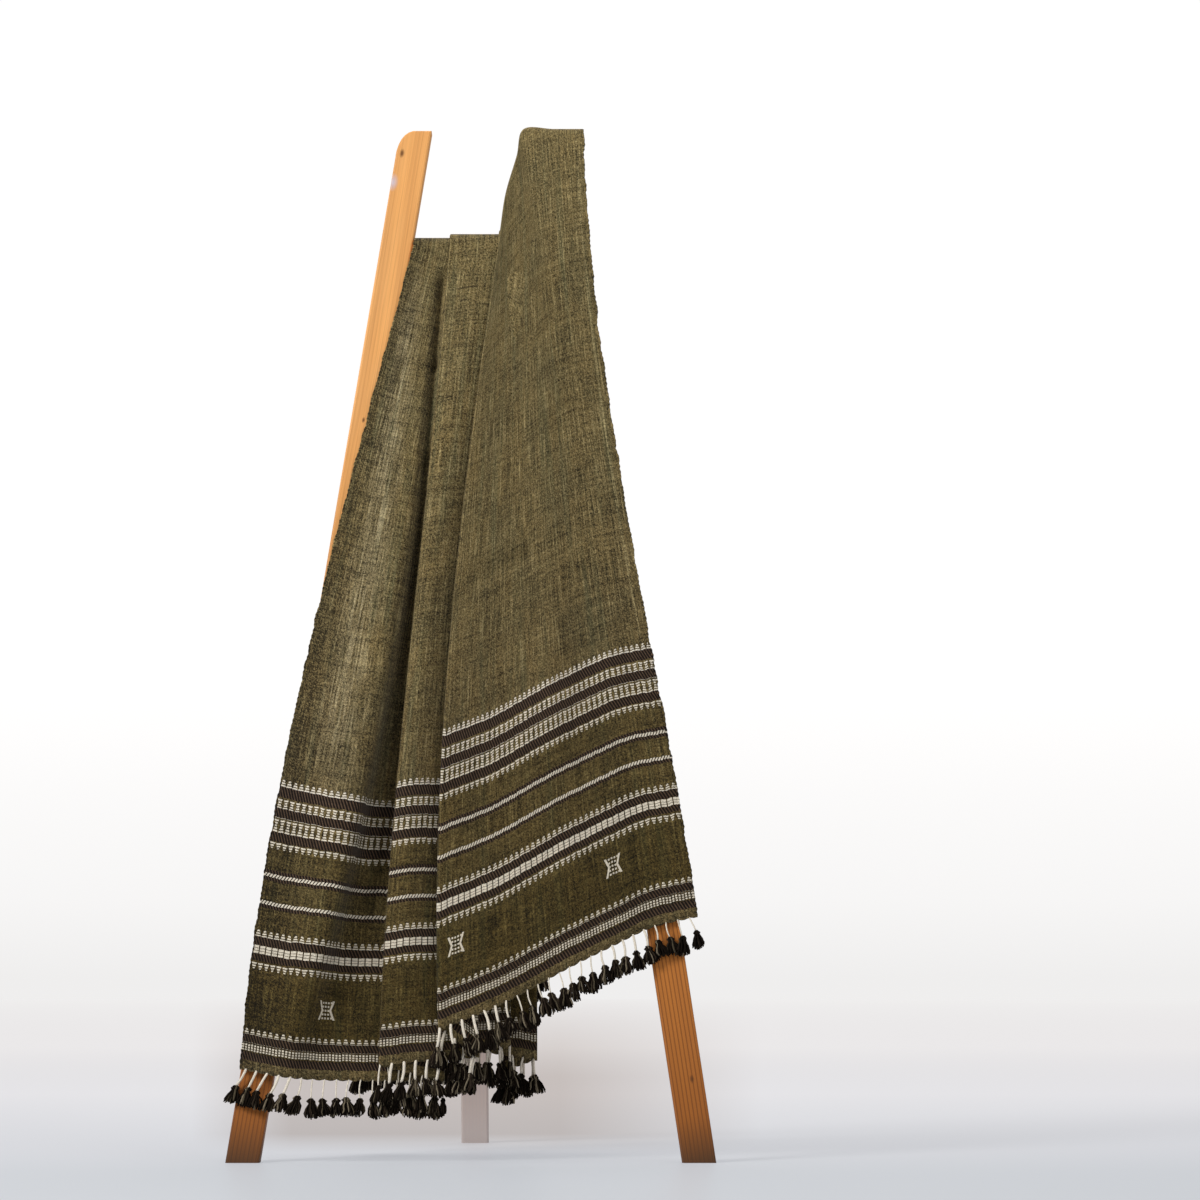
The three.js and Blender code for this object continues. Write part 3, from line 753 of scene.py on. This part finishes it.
def dash_stops():
    """Up the striped end: how wide the white dashes are, and which row of them it is."""
    stops = [(0.0, (0, 0, 0, 1))]
    for start, end, first, last, rows in DASHES:
        done = stops[-1][1][1] if stops[-1][0] == start / STRIPES_END else 0.0
        if not done:
            stops.append((start / STRIPES_END, (first, 0, 0, 1)))
        stops.append((end / STRIPES_END, (last, done + rows / MOST_ROWS, 0, 1)))
    return stops


def stripe_marks(look, u, v, v_stripe):
    """Where the striped end is brown or rope, and its white dashes, beads and rope strands."""
    place = v_stripe / (STRIPES_END * STRIPE_UNIT)
    code, dashed = look.ramp(place, [(start / STRIPES_END, STRIPE_CODES[kind])
                                     for start, kind in STRIPES])
    brown, rope, dots = look.split(code.socket)
    width, row, _ = look.split(look.ramp(place, dash_stops(), "LINEAR")[0].socket)
    in_row = (row * MOST_ROWS).part()
    across = ((u / DASH_PITCH).part() - 0.5).size() * 2
    dash = look.smallest(across < width, in_row < DASH_TALL + brown * BLOCK_TALLER, dashed)
    bead = look.smallest((u / BEAD_PITCH).part() < width, in_row < BEAD_TALL, dots)
    strand = look.smallest(((u - v * ROPE_SLANT) / ROPE_PITCH).part() > ROPE_GAP, rope)
    return brown, rope, (dash, bead, strand)


def ornaments(look, u, v_stripe):
    """Small hourglass outlines, and the spots in them."""
    along = u - ORNAMENT_AT + look.smallest(u > MOVED_FROM, u < MOVED_TO) * MOVED_BY
    du = (along / ORNAMENT_PITCH + 0.5).part() * ORNAMENT_PITCH - ORNAMENT_PITCH / 2
    dv = v_stripe - ORNAMENT_HIGH - (u > RAISED_FROM) * RAISED_BY
    beyond = dv.size()
    inside = beyond < ORNAMENT_HALF_TALL
    waist = beyond * ORNAMENT_FLARE + ORNAMENT_WAIST
    outline = look.smallest((du.size() - waist).size() < ORNAMENT_LINE, inside)
    in_spot = [((place + shift) / pitch).part() < share
               for place, (pitch, shift, share) in ((du, SPOT_WIDE), (dv, SPOT_TALL))]
    spots = look.smallest(*in_spot, du.size() < waist - SPOT_MARGIN, inside)
    return outline, spots


def painted_shading_up(look, v):
    """Painted light and shade on the wool, by height above the nearer hem."""
    stops = [(at / PAINTED_SHADING_END, (tint, tint ** PAINTED_SHADE_GREEN, min(tint, tint ** PAINTED_SHADE_BLUE), 1))
             for at, tint in PAINTED_SHADING_UP]
    return look.ramp(v / PAINTED_SHADING_END, stops, "LINEAR")[0]


def woven_wool():
    """Plain weave of heathered yarns, with the striped ends and their small ornaments."""
    dye = finishes()
    look = Look("woven_wool", 0.92, Sheen_Weight=0.05, Sheen_Roughness=0.5,
                Specular_IOR_Level=0.1)
    uv = look.node("ShaderNodeUVMap", uv_map="cloth")
    u, v = (metres / MM for metres in look.split(uv.outputs[0])[:2])
    warp_no = (u / YARN).floor()
    weft_no = (v / YARN).floor()
    crossing = look.random(look.vector(warp_no, weft_no))
    cell_wide, cell_tall = COARSE_CELL
    grain = {name: look.noise(look.vector(u / size.across + size.start, v / size.up),
                              detail=size.detail) - 0.5
             for name, size in GRAINS.items()}
    grain["coarse"] = look.random(look.vector((u / cell_wide).floor(),
                                              (v / cell_tall + warp_no * COARSE_DRIFT).floor()))

    sway_wide, sway_tall = SWAY_GRAIN
    sway = (look.noise(look.vector(u / sway_wide, v / sway_tall)) - 0.5) * SWAY
    stray = (look.random(look.vector((u / BEAD_PITCH).floor(), STRAY_DRAW)) - 0.5) * STRAY
    v_stripe = v + sway + stray
    brown, rope, marks = stripe_marks(look, u, v, v_stripe)
    white = look.largest(*marks, *ornaments(look, u, v_stripe))
    ribs = look.spread(((u + v * RIB_SLANT) * (2 * math.pi / RIB_PITCH)).sine(), RIB_FROM, 1.0)
    umber = look.mix(ribs * RIB_SHARE, dye.umber, RIB_BROWN)
    shade = look.mix(look.largest(brown, rope), field_colour(look, dye, u, v, grain), umber)
    shade = look.mix(white, shade, dye.cream)
    for place_u, place_v, wide, tall, strength in SLUBS:
        du, dv = (u - place_u) / wide, (v - place_v) / tall
        away = du * du + dv * dv + grain["patch"] * SLUB_RAGGED + (crossing - 0.5)
        shade = look.mix(look.spread(away, *SLUB_EDGE) * strength, shade, dye.umber)

    plain = (look.spread(look.largest(white, brown * BROWN_TONE), 1.0, 0.0) * (1 - STRIPE_TONE)
             + STRIPE_TONE)
    tone = 1.0 + (field_tone(look, u, v, grain, crossing) - 1.0) * plain
    tone = look.spread(tone, TONE_LOW, TONE_HIGH) * (TONE_HIGH - TONE_LOW) + TONE_LOW
    shade = look.tint(shade, look.vector(tone, tone, tone))
    # Painted light and shade by height, applied mostly to the plain field.
    look.colour(look.mix(plain, shade, look.tint(shade, painted_shading_up(look, v))))

    over = (u * (math.pi / YARN)).sine() * (v * (math.pi / YARN)).sine()
    look.bump(over * OVER_BUMP + crossing * CROSSING_BUMP + grain["coarse"] * COARSE_BUMP
              + white * WHITE_BUMP + grain["warp"], YARN_HIGH * MM, 0.9)
    return look.material


def fringe_wool():
    """Cream twisted cords and dark tassels: each yarn's colour is kept on the mesh."""
    look = Look("fringe_wool", 0.95, Specular_IOR_Level=0.05)
    yarn = look.node("ShaderNodeVertexColor", layer_name="yarn")
    places = look.split(look.here())
    cell = look.vector(*(place / (wide * MM) for place, wide in zip(places, HAIR_CELL)))
    hair = look.noise(cell, detail=1.0)
    tone = look.spread(hair, *HAIR_FROM) * HAIR_TONE + HAIR_DARKEST
    look.colour(look.tint(Wire(look, yarn.outputs[0]), look.vector(tone, tone, tone)))
    look.bump(hair, HAIR_HIGH * MM, 0.5)
    return look.material


def oiled_pine(name, foot, top, knots, wear_and_highlight=0.0, limed=0.0):
    """Orange pine with its grain along the board, darker towards the foot: partly stain, partly
    painted shade.
    """
    dye = finishes()
    look = Look(name, 0.55, Specular_IOR_Level=0.2)
    along = (Vector(top) - Vector(foot)).normalized()
    turn = along.rotation_difference(Vector((0, 0, 1))).to_euler()
    move = -(turn.to_matrix() @ Vector(foot))
    mapping = look.node("ShaderNodeMapping", {"Rotation": turn, "Location": move})
    look.tree.links.new(look.here(), mapping.inputs["Vector"])
    x, y, z = look.split(mapping.outputs[0])

    def coat(wood, kind, amount):
        return look.mix(amount * COATS[kind].share, wood, COATS[kind].colour)

    bend, fine, mottle = (look.noise(look.vector(x * across, y * across, z * up), detail=detail)
                          for across, up, detail in (BEND, FINE, MOTTLE))
    rings, broad = (look.spread(((x + y * kind.deep) * kind.close
                                 + (bend - 0.5) * kind.bent).sine(), kind.start, 1.0)
                    for kind in (NARROW, BROAD))
    # Darker towards the foot: partly stain and grime, partly painted shade.
    stain_and_shade_height = z + (mottle - 0.5) * STAIN_SHADE_RAGGED
    low = look.spread(stain_and_shade_height, *STAIN_AND_SHADE)
    wood = coat(dye.pine, "pale", look.spread(mottle, *PALE_PATCHES))
    wood = coat(wood, "stain_and_shade", low)
    wood = coat(wood, "dark_stain_and_shade", look.spread(stain_and_shade_height, *DARK_STAIN_AND_SHADE))
    wood = look.mix(broad * BROAD_SHARE, wood, dye.pine_dark)
    wood = look.mix(look.spread(fine, *FINE_FROM) * FINE_SHARE, wood, dye.pine_dark)
    wood = look.mix(rings * (low * LATE_STAIN_AND_SHADE + LATE_SHARE), wood, LATE_WOOD)
    wood = coat(wood, "grime_and_shade", look.spread(z + (fine - 0.5) * GRIME_SHADE_RAGGED, *GRIME_AND_SHADE))
    for kx, kz, size in knots:
        away = look.math("SQRT", (x - kx) * (x - kx) + (z - kz) * (z - kz) * KNOT_TALL)
        wood = coat(wood, "knot", look.spread(away, size, size * KNOT_CORE))
    # Painted highlight near the leg's top.
    if wear_and_highlight:
        aside, above = x + HIGHLIGHT_ASIDE, z - wear_and_highlight
        highlight_away = look.math("SQRT", aside * aside + above * above * HIGHLIGHT_TALL)
        wood = coat(wood, "painted_highlight", look.spread(highlight_away, *HIGHLIGHT_SIZE))
    if limed:
        wood = look.mix(limed, wood, look.mix(look.spread(z, *LIME_FADES), LIME_PALE, LIME))
    look.colour(wood)
    look.bump(fine * FINE_BUMP + rings * RING_BUMP, GRAIN_HIGH * MM, 0.35)
    return look.material


def pale_floor():
    """Pale floor that partly glows, brighter away from the camera until it meets the backdrop, with
    a painted shadow of the stand.
    """
    look = Look("pale_floor", 0.35, Specular_IOR_Level=0.5)
    x, y, _ = look.split(look.here())
    bearing = (x - SHADOW_EYE[0]) / (y - SHADOW_EYE[1])
    left, left_full, right_full, right = SHADOW_BEARINGS
    near, near_full, far_full, far = SHADOW_BACK
    shadow = (look.spread(bearing, left, left_full) * look.spread(bearing, right, right_full)
              * look.spread(y, near, near_full)
              * look.spread(1.0 / (y - SHADOW_EYE[1]), 1 / far, 1 / (far_full - SHADOW_EYE[1])))
    lit = look.vector(*(1.0 - shadow * depth for depth in SHADOW_DEPTH))
    look.colour(look.tint(FLOOR_PAINT, lit))
    shares = [((y_from + FLOOR_FROM) / FLOOR_LONG, (*colour, 1)) for y_from, colour in FLOOR_TONES]
    glow_colour = look.ramp((y + FLOOR_FROM) / FLOOR_LONG, shares, "LINEAR")[0]
    glow = look.wire("ShaderNodeEmission", {"Color": look.tint(glow_colour, lit),
                                            "Strength": 1.0})
    inputs = {0: FLOOR_GLOW, 1: Wire(look, look.shader.outputs[0]), 2: glow}
    blend = look.wire("ShaderNodeMixShader", inputs)
    look.join(look.tree.nodes["Material Output"].inputs[0], blend)
    return look.material


def studio_world():
    """White backdrop above a slightly grey horizon, and a dimmer light from all round."""
    world = bpy.data.worlds.new("studio")
    world.use_nodes = True
    studio = Nodes(world.node_tree)
    dim = studio.tree.nodes["Background"]
    dim.inputs[0].default_value = AMBIENT_TINT
    dim.inputs[1].default_value = AMBIENT
    place = studio.node("ShaderNodeTexCoord").outputs["Generated"]
    stops = [(rise, (tone, tone * SKY_GREEN, tone * SKY_BLUE, 1)) for rise, tone in SKY_TONES]
    sky = studio.ramp(studio.split(place)[2], stops, "LINEAR")[0]
    shown = studio.wire("ShaderNodeBackground", {0: sky})
    seen = studio.wire("ShaderNodeLightPath", output="Is Camera Ray")
    inputs = {0: seen, 1: Wire(studio, dim.outputs[0]), 2: shown}
    blend = studio.wire("ShaderNodeMixShader", inputs)
    studio.join(studio.tree.nodes["World Output"].inputs[0], blend)
    return world


# Fringe

def hem_points(grid, hem, above, u):
    """Where each cord leaves a hem: place, way down, way out and way across."""
    normals = outward(grid)[hem]
    down = grid[hem] - grid[above]
    roots = np.arange(CORD_PITCH / 2, u[-1] - 1, CORD_PITCH)

    def unit(values):
        return values / np.linalg.norm(values, axis=1, keepdims=True)

    down, out = unit(points_at(roots, u, down)), unit(points_at(roots, u, normals))
    return roots, points_at(roots, u, grid[hem]), down, out, unit(np.cross(out, down))


def tube(points, radii, sides, across, out):
    """A closed tube round a line of points: its corners and its faces."""
    corners, faces = [], []
    for point, radius in zip(points, radii):
        for k in range(sides):
            a = 2 * math.pi * k / sides
            corners.append(point + (across * math.cos(a) + out * math.sin(a)) * radius)
    for ring in range(len(points) - 1):
        for k in range(sides):
            a, b = ring * sides + k, ring * sides + (k + 1) % sides
            faces.append((a, b, b + sides, a + sides))
    last = (len(points) - 1) * sides
    faces.append(tuple(range(sides))[::-1])
    faces.append(tuple(last + k for k in range(sides)))
    return corners, faces


class Bundle:
    """Tubes gathered in one mesh, each with its own colour."""

    def __init__(self):
        self.corners, self.faces, self.colours = [], [], []

    def add(self, points, radii, sides, across, out, colour):
        corners, faces = tube(points, radii, sides, across, out)
        start = len(self.corners)
        self.corners += corners
        self.faces += [tuple(start + k for k in face) for face in faces]
        self.colours += [(*colour, 1)] * len(corners)

    def object(self, name):
        made = mesh_object(name, self.corners, self.faces)
        layer = made.data.color_attributes.new("yarn", "FLOAT_COLOR", "POINT")
        layer.data.foreach_set("color", np.array(self.colours, np.float32).ravel())
        return made


def add_strand(bundle, draw, root, down, across, out, lean, roomy, short, thickness):
    """A cord with a tassel at its end: a bunch of yarns looped through the cord."""
    size, dye = sizes(), finishes()
    cord, thick = size.cord_length / MM, size.cord_width / MM * thickness
    long, half = size.tassel_length / MM, size.tassel_width / MM / 2

    def vary(what):
        return draw.uniform(*VARY[what])

    way = down + across * (lean + vary("lean")) + out * vary("jut")
    way /= np.linalg.norm(way)
    bow = across * vary("bow") + out * vary("bulge")
    cord *= vary("cord") * short
    line = [root + way * (cord * s - CORD_ROOT) + bow * math.sin(math.pi * s)
            for s in np.linspace(0, 1, CORD_STEPS)]
    radii = [thick / 2 * (1 + CORD_TWIST * (i % 2)) for i in range(CORD_STEPS)]
    bundle.add(line, radii, CORD_SIDES, across, out, dye.cream)
    head = line[-1]
    deep = half * (TASSEL_DEEP if roomy else TASSEL_FLAT)
    half *= vary("wide")
    long *= vary("long")
    fall = way * 0.5 + down * 0.5 + across * vary("fall")
    fall /= np.linalg.norm(fall)
    yarn_radii = [radius for _, _, radius in TASSEL_SHAPE]
    for k in range(YARNS):
        angle = YARN_TURN * k + vary("turn")
        reach = math.sqrt((k + 0.5) / YARNS)
        side = (across * math.cos(angle) * half + out * math.sin(angle) * deep) * reach
        end = long * (1.0 - YARN_SHORTER * reach ** 2 + vary("end"))
        colour = draw.choices(YARN_COLOURS, YARN_SHARES)[0]
        path = []
        for drop, spread, _ in TASSEL_SHAPE:
            stray = across * vary("stray") + out * vary("stray out")
            path.append(head + fall * end * drop + side * spread + stray)
        bundle.add(path, yarn_radii, YARN_SIDES, across, out, colour)


def build_fringe(name, grid, u, front):
    """The row of cords and tassels at one hem."""
    draw = random.Random(FRONT_SEED if front else BACK_SEED)
    hem, above = (0, 1) if front else (-1, -2)
    bundle = Bundle()
    points = hem_points(grid, hem, above, u)
    for at, root, down, out, across in zip(*points):
        lean = float(np.interp(at, *zip(*LEANS))) if front else 0.0
        roomy = not (u[-1] * PLEATS_FROM < at < u[-1] * PLEATS_TO)
        if front and across[0] < 0:
            across = -across
        short = SHORTER if not front or at > SHORT_FROM else 1.0
        thickness = float(np.interp(at, *zip(*THICKNESSES))) if front else 1.0
        add_strand(bundle, draw, root, down, across, out, lean, roomy, short, thickness)
    made = bundle.object(name)
    made.data.materials.append(fringe_wool() if front else bpy.data.materials["fringe_wool"])
    return made


def build_selvage(grid, u, v, column):
    """The bumpy turned edge down one side of the cloth, with the cloth's own coordinates."""
    draw = random.Random(SELVAGE_SEED + column)
    edge = grid[:, column]
    walked = walk(edge)
    at = np.arange(0, walked[-1], SELVAGE_PITCH)
    points = points_at(at, walked, edge)
    along_v = np.interp(at, walked, v[:, column])
    across = np.array([1.0, 0.0, 0.0])
    out = np.array([0.0, -COS, SIN])
    radii = [SELVAGE_ROUND + (SELVAGE_MORE if k % 2 else SELVAGE_LESS)
             + draw.uniform(*VARY["selvage"]) for k in range(len(at))]
    corners, faces = tube(points, radii, SELVAGE_SIDES, across, out)
    made = mesh_object("selvage", corners, faces)
    layer = made.data.uv_layers.new(name="cloth")
    for loop, place in zip(made.data.loops, layer.data):
        place.uv = (u[column] * MM, along_v[loop.vertex_index // SELVAGE_SIDES] * MM)
    return made


class THROW_OT_cloth(bpy.types.Operator):
    """Build the throw as a thin sheet on the folds of the CAD part"""

    bl_idname = "throw.cloth"
    bl_label = "Throw"

    def execute(self, context):
        smooth, u, v = hung_cloth()
        grid = scalloped(smooth, u)
        rows, columns = grid.shape[:2]
        faces = [(i * columns + j, i * columns + j + 1, (i + 1) * columns + j + 1,
                  (i + 1) * columns + j)
                 for i in range(rows - 1) for j in range(columns - 1)]
        cloth = mesh_object("wool_throw", grid.reshape(-1, 3), faces)
        layer = cloth.data.uv_layers.new(name="cloth")
        index = np.empty(len(cloth.data.loops), np.int32)
        cloth.data.loops.foreach_get("vertex_index", index)
        pairs = np.stack([np.tile(u, rows), v.ravel()], axis=1) * MM
        layer.data.foreach_set("uv", pairs[index].astype(np.float32).ravel())
        solidify = cloth.modifiers.new("thickness", "SOLIDIFY")
        solidify.thickness = sizes().thickness
        solidify.offset = 0.0
        bpy.ops.object.modifier_apply(modifier=solidify.name)
        edges = [build_selvage(grid, u, v, column) for column in (0, -1)]
        only(cloth)
        for edge in edges:
            edge.select_set(True)
        bpy.ops.object.join()
        cloth.data.materials.append(woven_wool())
        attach(cloth, "root")
        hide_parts("throw")
        return {"FINISHED"}


class THROW_OT_fringes(bpy.types.Operator):
    """Knot the cords and tassels to both ends of the throw"""

    bl_idname = "throw.fringes"
    bl_label = "Fringes"

    def execute(self, context):
        grid, u, _ = hung_cloth()
        for name, node, front in (("tassels_front", "fringe_front", True),
                                  ("tassels_back", "fringe_back", False)):
            fringe = build_fringe(name, grid, u, front)
            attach(fringe, "root")
            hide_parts(node)
        return {"FINISHED"}


class THROW_OT_stand(bpy.types.Operator):
    """Give the stand's legs and rung their oiled pine"""

    bl_idname = "throw.stand"
    bl_label = "Stand"

    def execute(self, context):
        low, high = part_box("front_leg_left")
        foot = (low.x + FOOT_MIDDLE, low.y, 0)
        splay = high.x - low.x - BOARD_WIDE
        top = (foot[0] + splay, low.y + LEG_TOP_Y * MM, LEG_HEIGHT * MM)
        mirror = [(-p[0], p[1], p[2]) for p in (foot, top)]
        prop_low, prop_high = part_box("rear_leg")
        middle = (prop_low.x + prop_high.x) / 2
        boards = {
            "front_leg_left": (foot, top, LEFT_KNOTS, HIGHLIGHT_AT),
            "front_leg_right": (*mirror, RIGHT_KNOTS, 0.0),
            "rung": ((low.x, 0, RUNG_AT), (high.x, 0, RUNG_AT), [], 0.0),
            "rear_leg": ((middle, prop_high.y, 0), (middle, prop_low.y, prop_high.z), [], 0.0),
        }
        for name, (start, end, knots, wear_and_highlight) in boards.items():
            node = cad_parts[name]
            limed = LIMED if name == "rear_leg" else 0.0
            material = oiled_pine(name + "_pine", start, end, knots, wear_and_highlight, limed)
            node.data.materials.clear()
            node.data.materials.append(material)
        return {"FINISHED"}


class THROW_OT_stage(bpy.types.Operator):
    """Lay the pale floor and set the soft light and the camera"""

    bl_idname = "throw.stage"
    bl_label = "Stage"

    def execute(self, context):
        bpy.ops.object.select_all(action="DESELECT")
        bpy.ops.mesh.primitive_circle_add(vertices=64, radius=30, fill_type="NGON",
                                          location=(0, 0, 0))
        floor = context.object
        floor.name = "floor"
        floor.data.materials.append(pale_floor())
        for name, place, size, power in LAMPS:
            lamp = bpy.data.lights.new(name, "AREA")
            lamp.shape = "DISK"
            lamp.size = size
            lamp.energy = power
            holder = new_object(name, lamp)
            holder.location = place
            aim = Vector(LAMPS_AIM) - Vector(place)
            holder.rotation_euler = aim.to_track_quat("-Z", "Y").to_euler()
        context.scene.world = studio_world()
        camera = bpy.data.cameras.new("camera")
        camera.lens = 100
        camera.sensor_width = 36
        camera.shift_y = 0.08
        camera.clip_end = 100
        eye = new_object("camera", camera)
        x, y, z = CAMERA_AT
        eye.location = (x, y + FEET_Y * MM, z)
        eye.rotation_euler = (math.radians(90 + CAMERA_UP), 0, 0)
        context.scene.camera = eye
        context.scene.view_settings.view_transform = "Standard"
        context.scene.view_settings.look = "None"
        return {"FINISHED"}


STEPS = (THROW_OT_cloth, THROW_OT_fringes, THROW_OT_stand, THROW_OT_stage)


class THROW_PT_panel(bpy.types.Panel):
    """Sizes, finishes and steps of the throw"""

    bl_idname = "THROW_PT_panel"
    bl_label = "Wool throw"
    bl_space_type = "VIEW_3D"
    bl_region_type = "UI"
    bl_category = "Throw"

    def draw(self, context):
        for group in (sizes(), finishes()):
            for name in group.__annotations__:
                self.layout.prop(group, name)
        for step in STEPS:
            self.layout.operator(step.bl_idname)


CLASSES = (ThrowSizes, Finishes, *STEPS, THROW_PT_panel)


def register():
    for each in CLASSES:
        bpy.utils.register_class(each)
    bpy.types.Scene.throw_sizes = bpy.props.PointerProperty(type=ThrowSizes)
    bpy.types.Scene.throw_finishes = bpy.props.PointerProperty(type=Finishes)


def unregister():
    del bpy.types.Scene.throw_finishes
    del bpy.types.Scene.throw_sizes
    for each in reversed(CLASSES):
        bpy.utils.unregister_class(each)


def main():
    register()
    bpy.ops.throw.cloth()
    bpy.ops.throw.fringes()
    bpy.ops.throw.stand()
    bpy.ops.throw.stage()


if __name__ == "__main__":
    main()
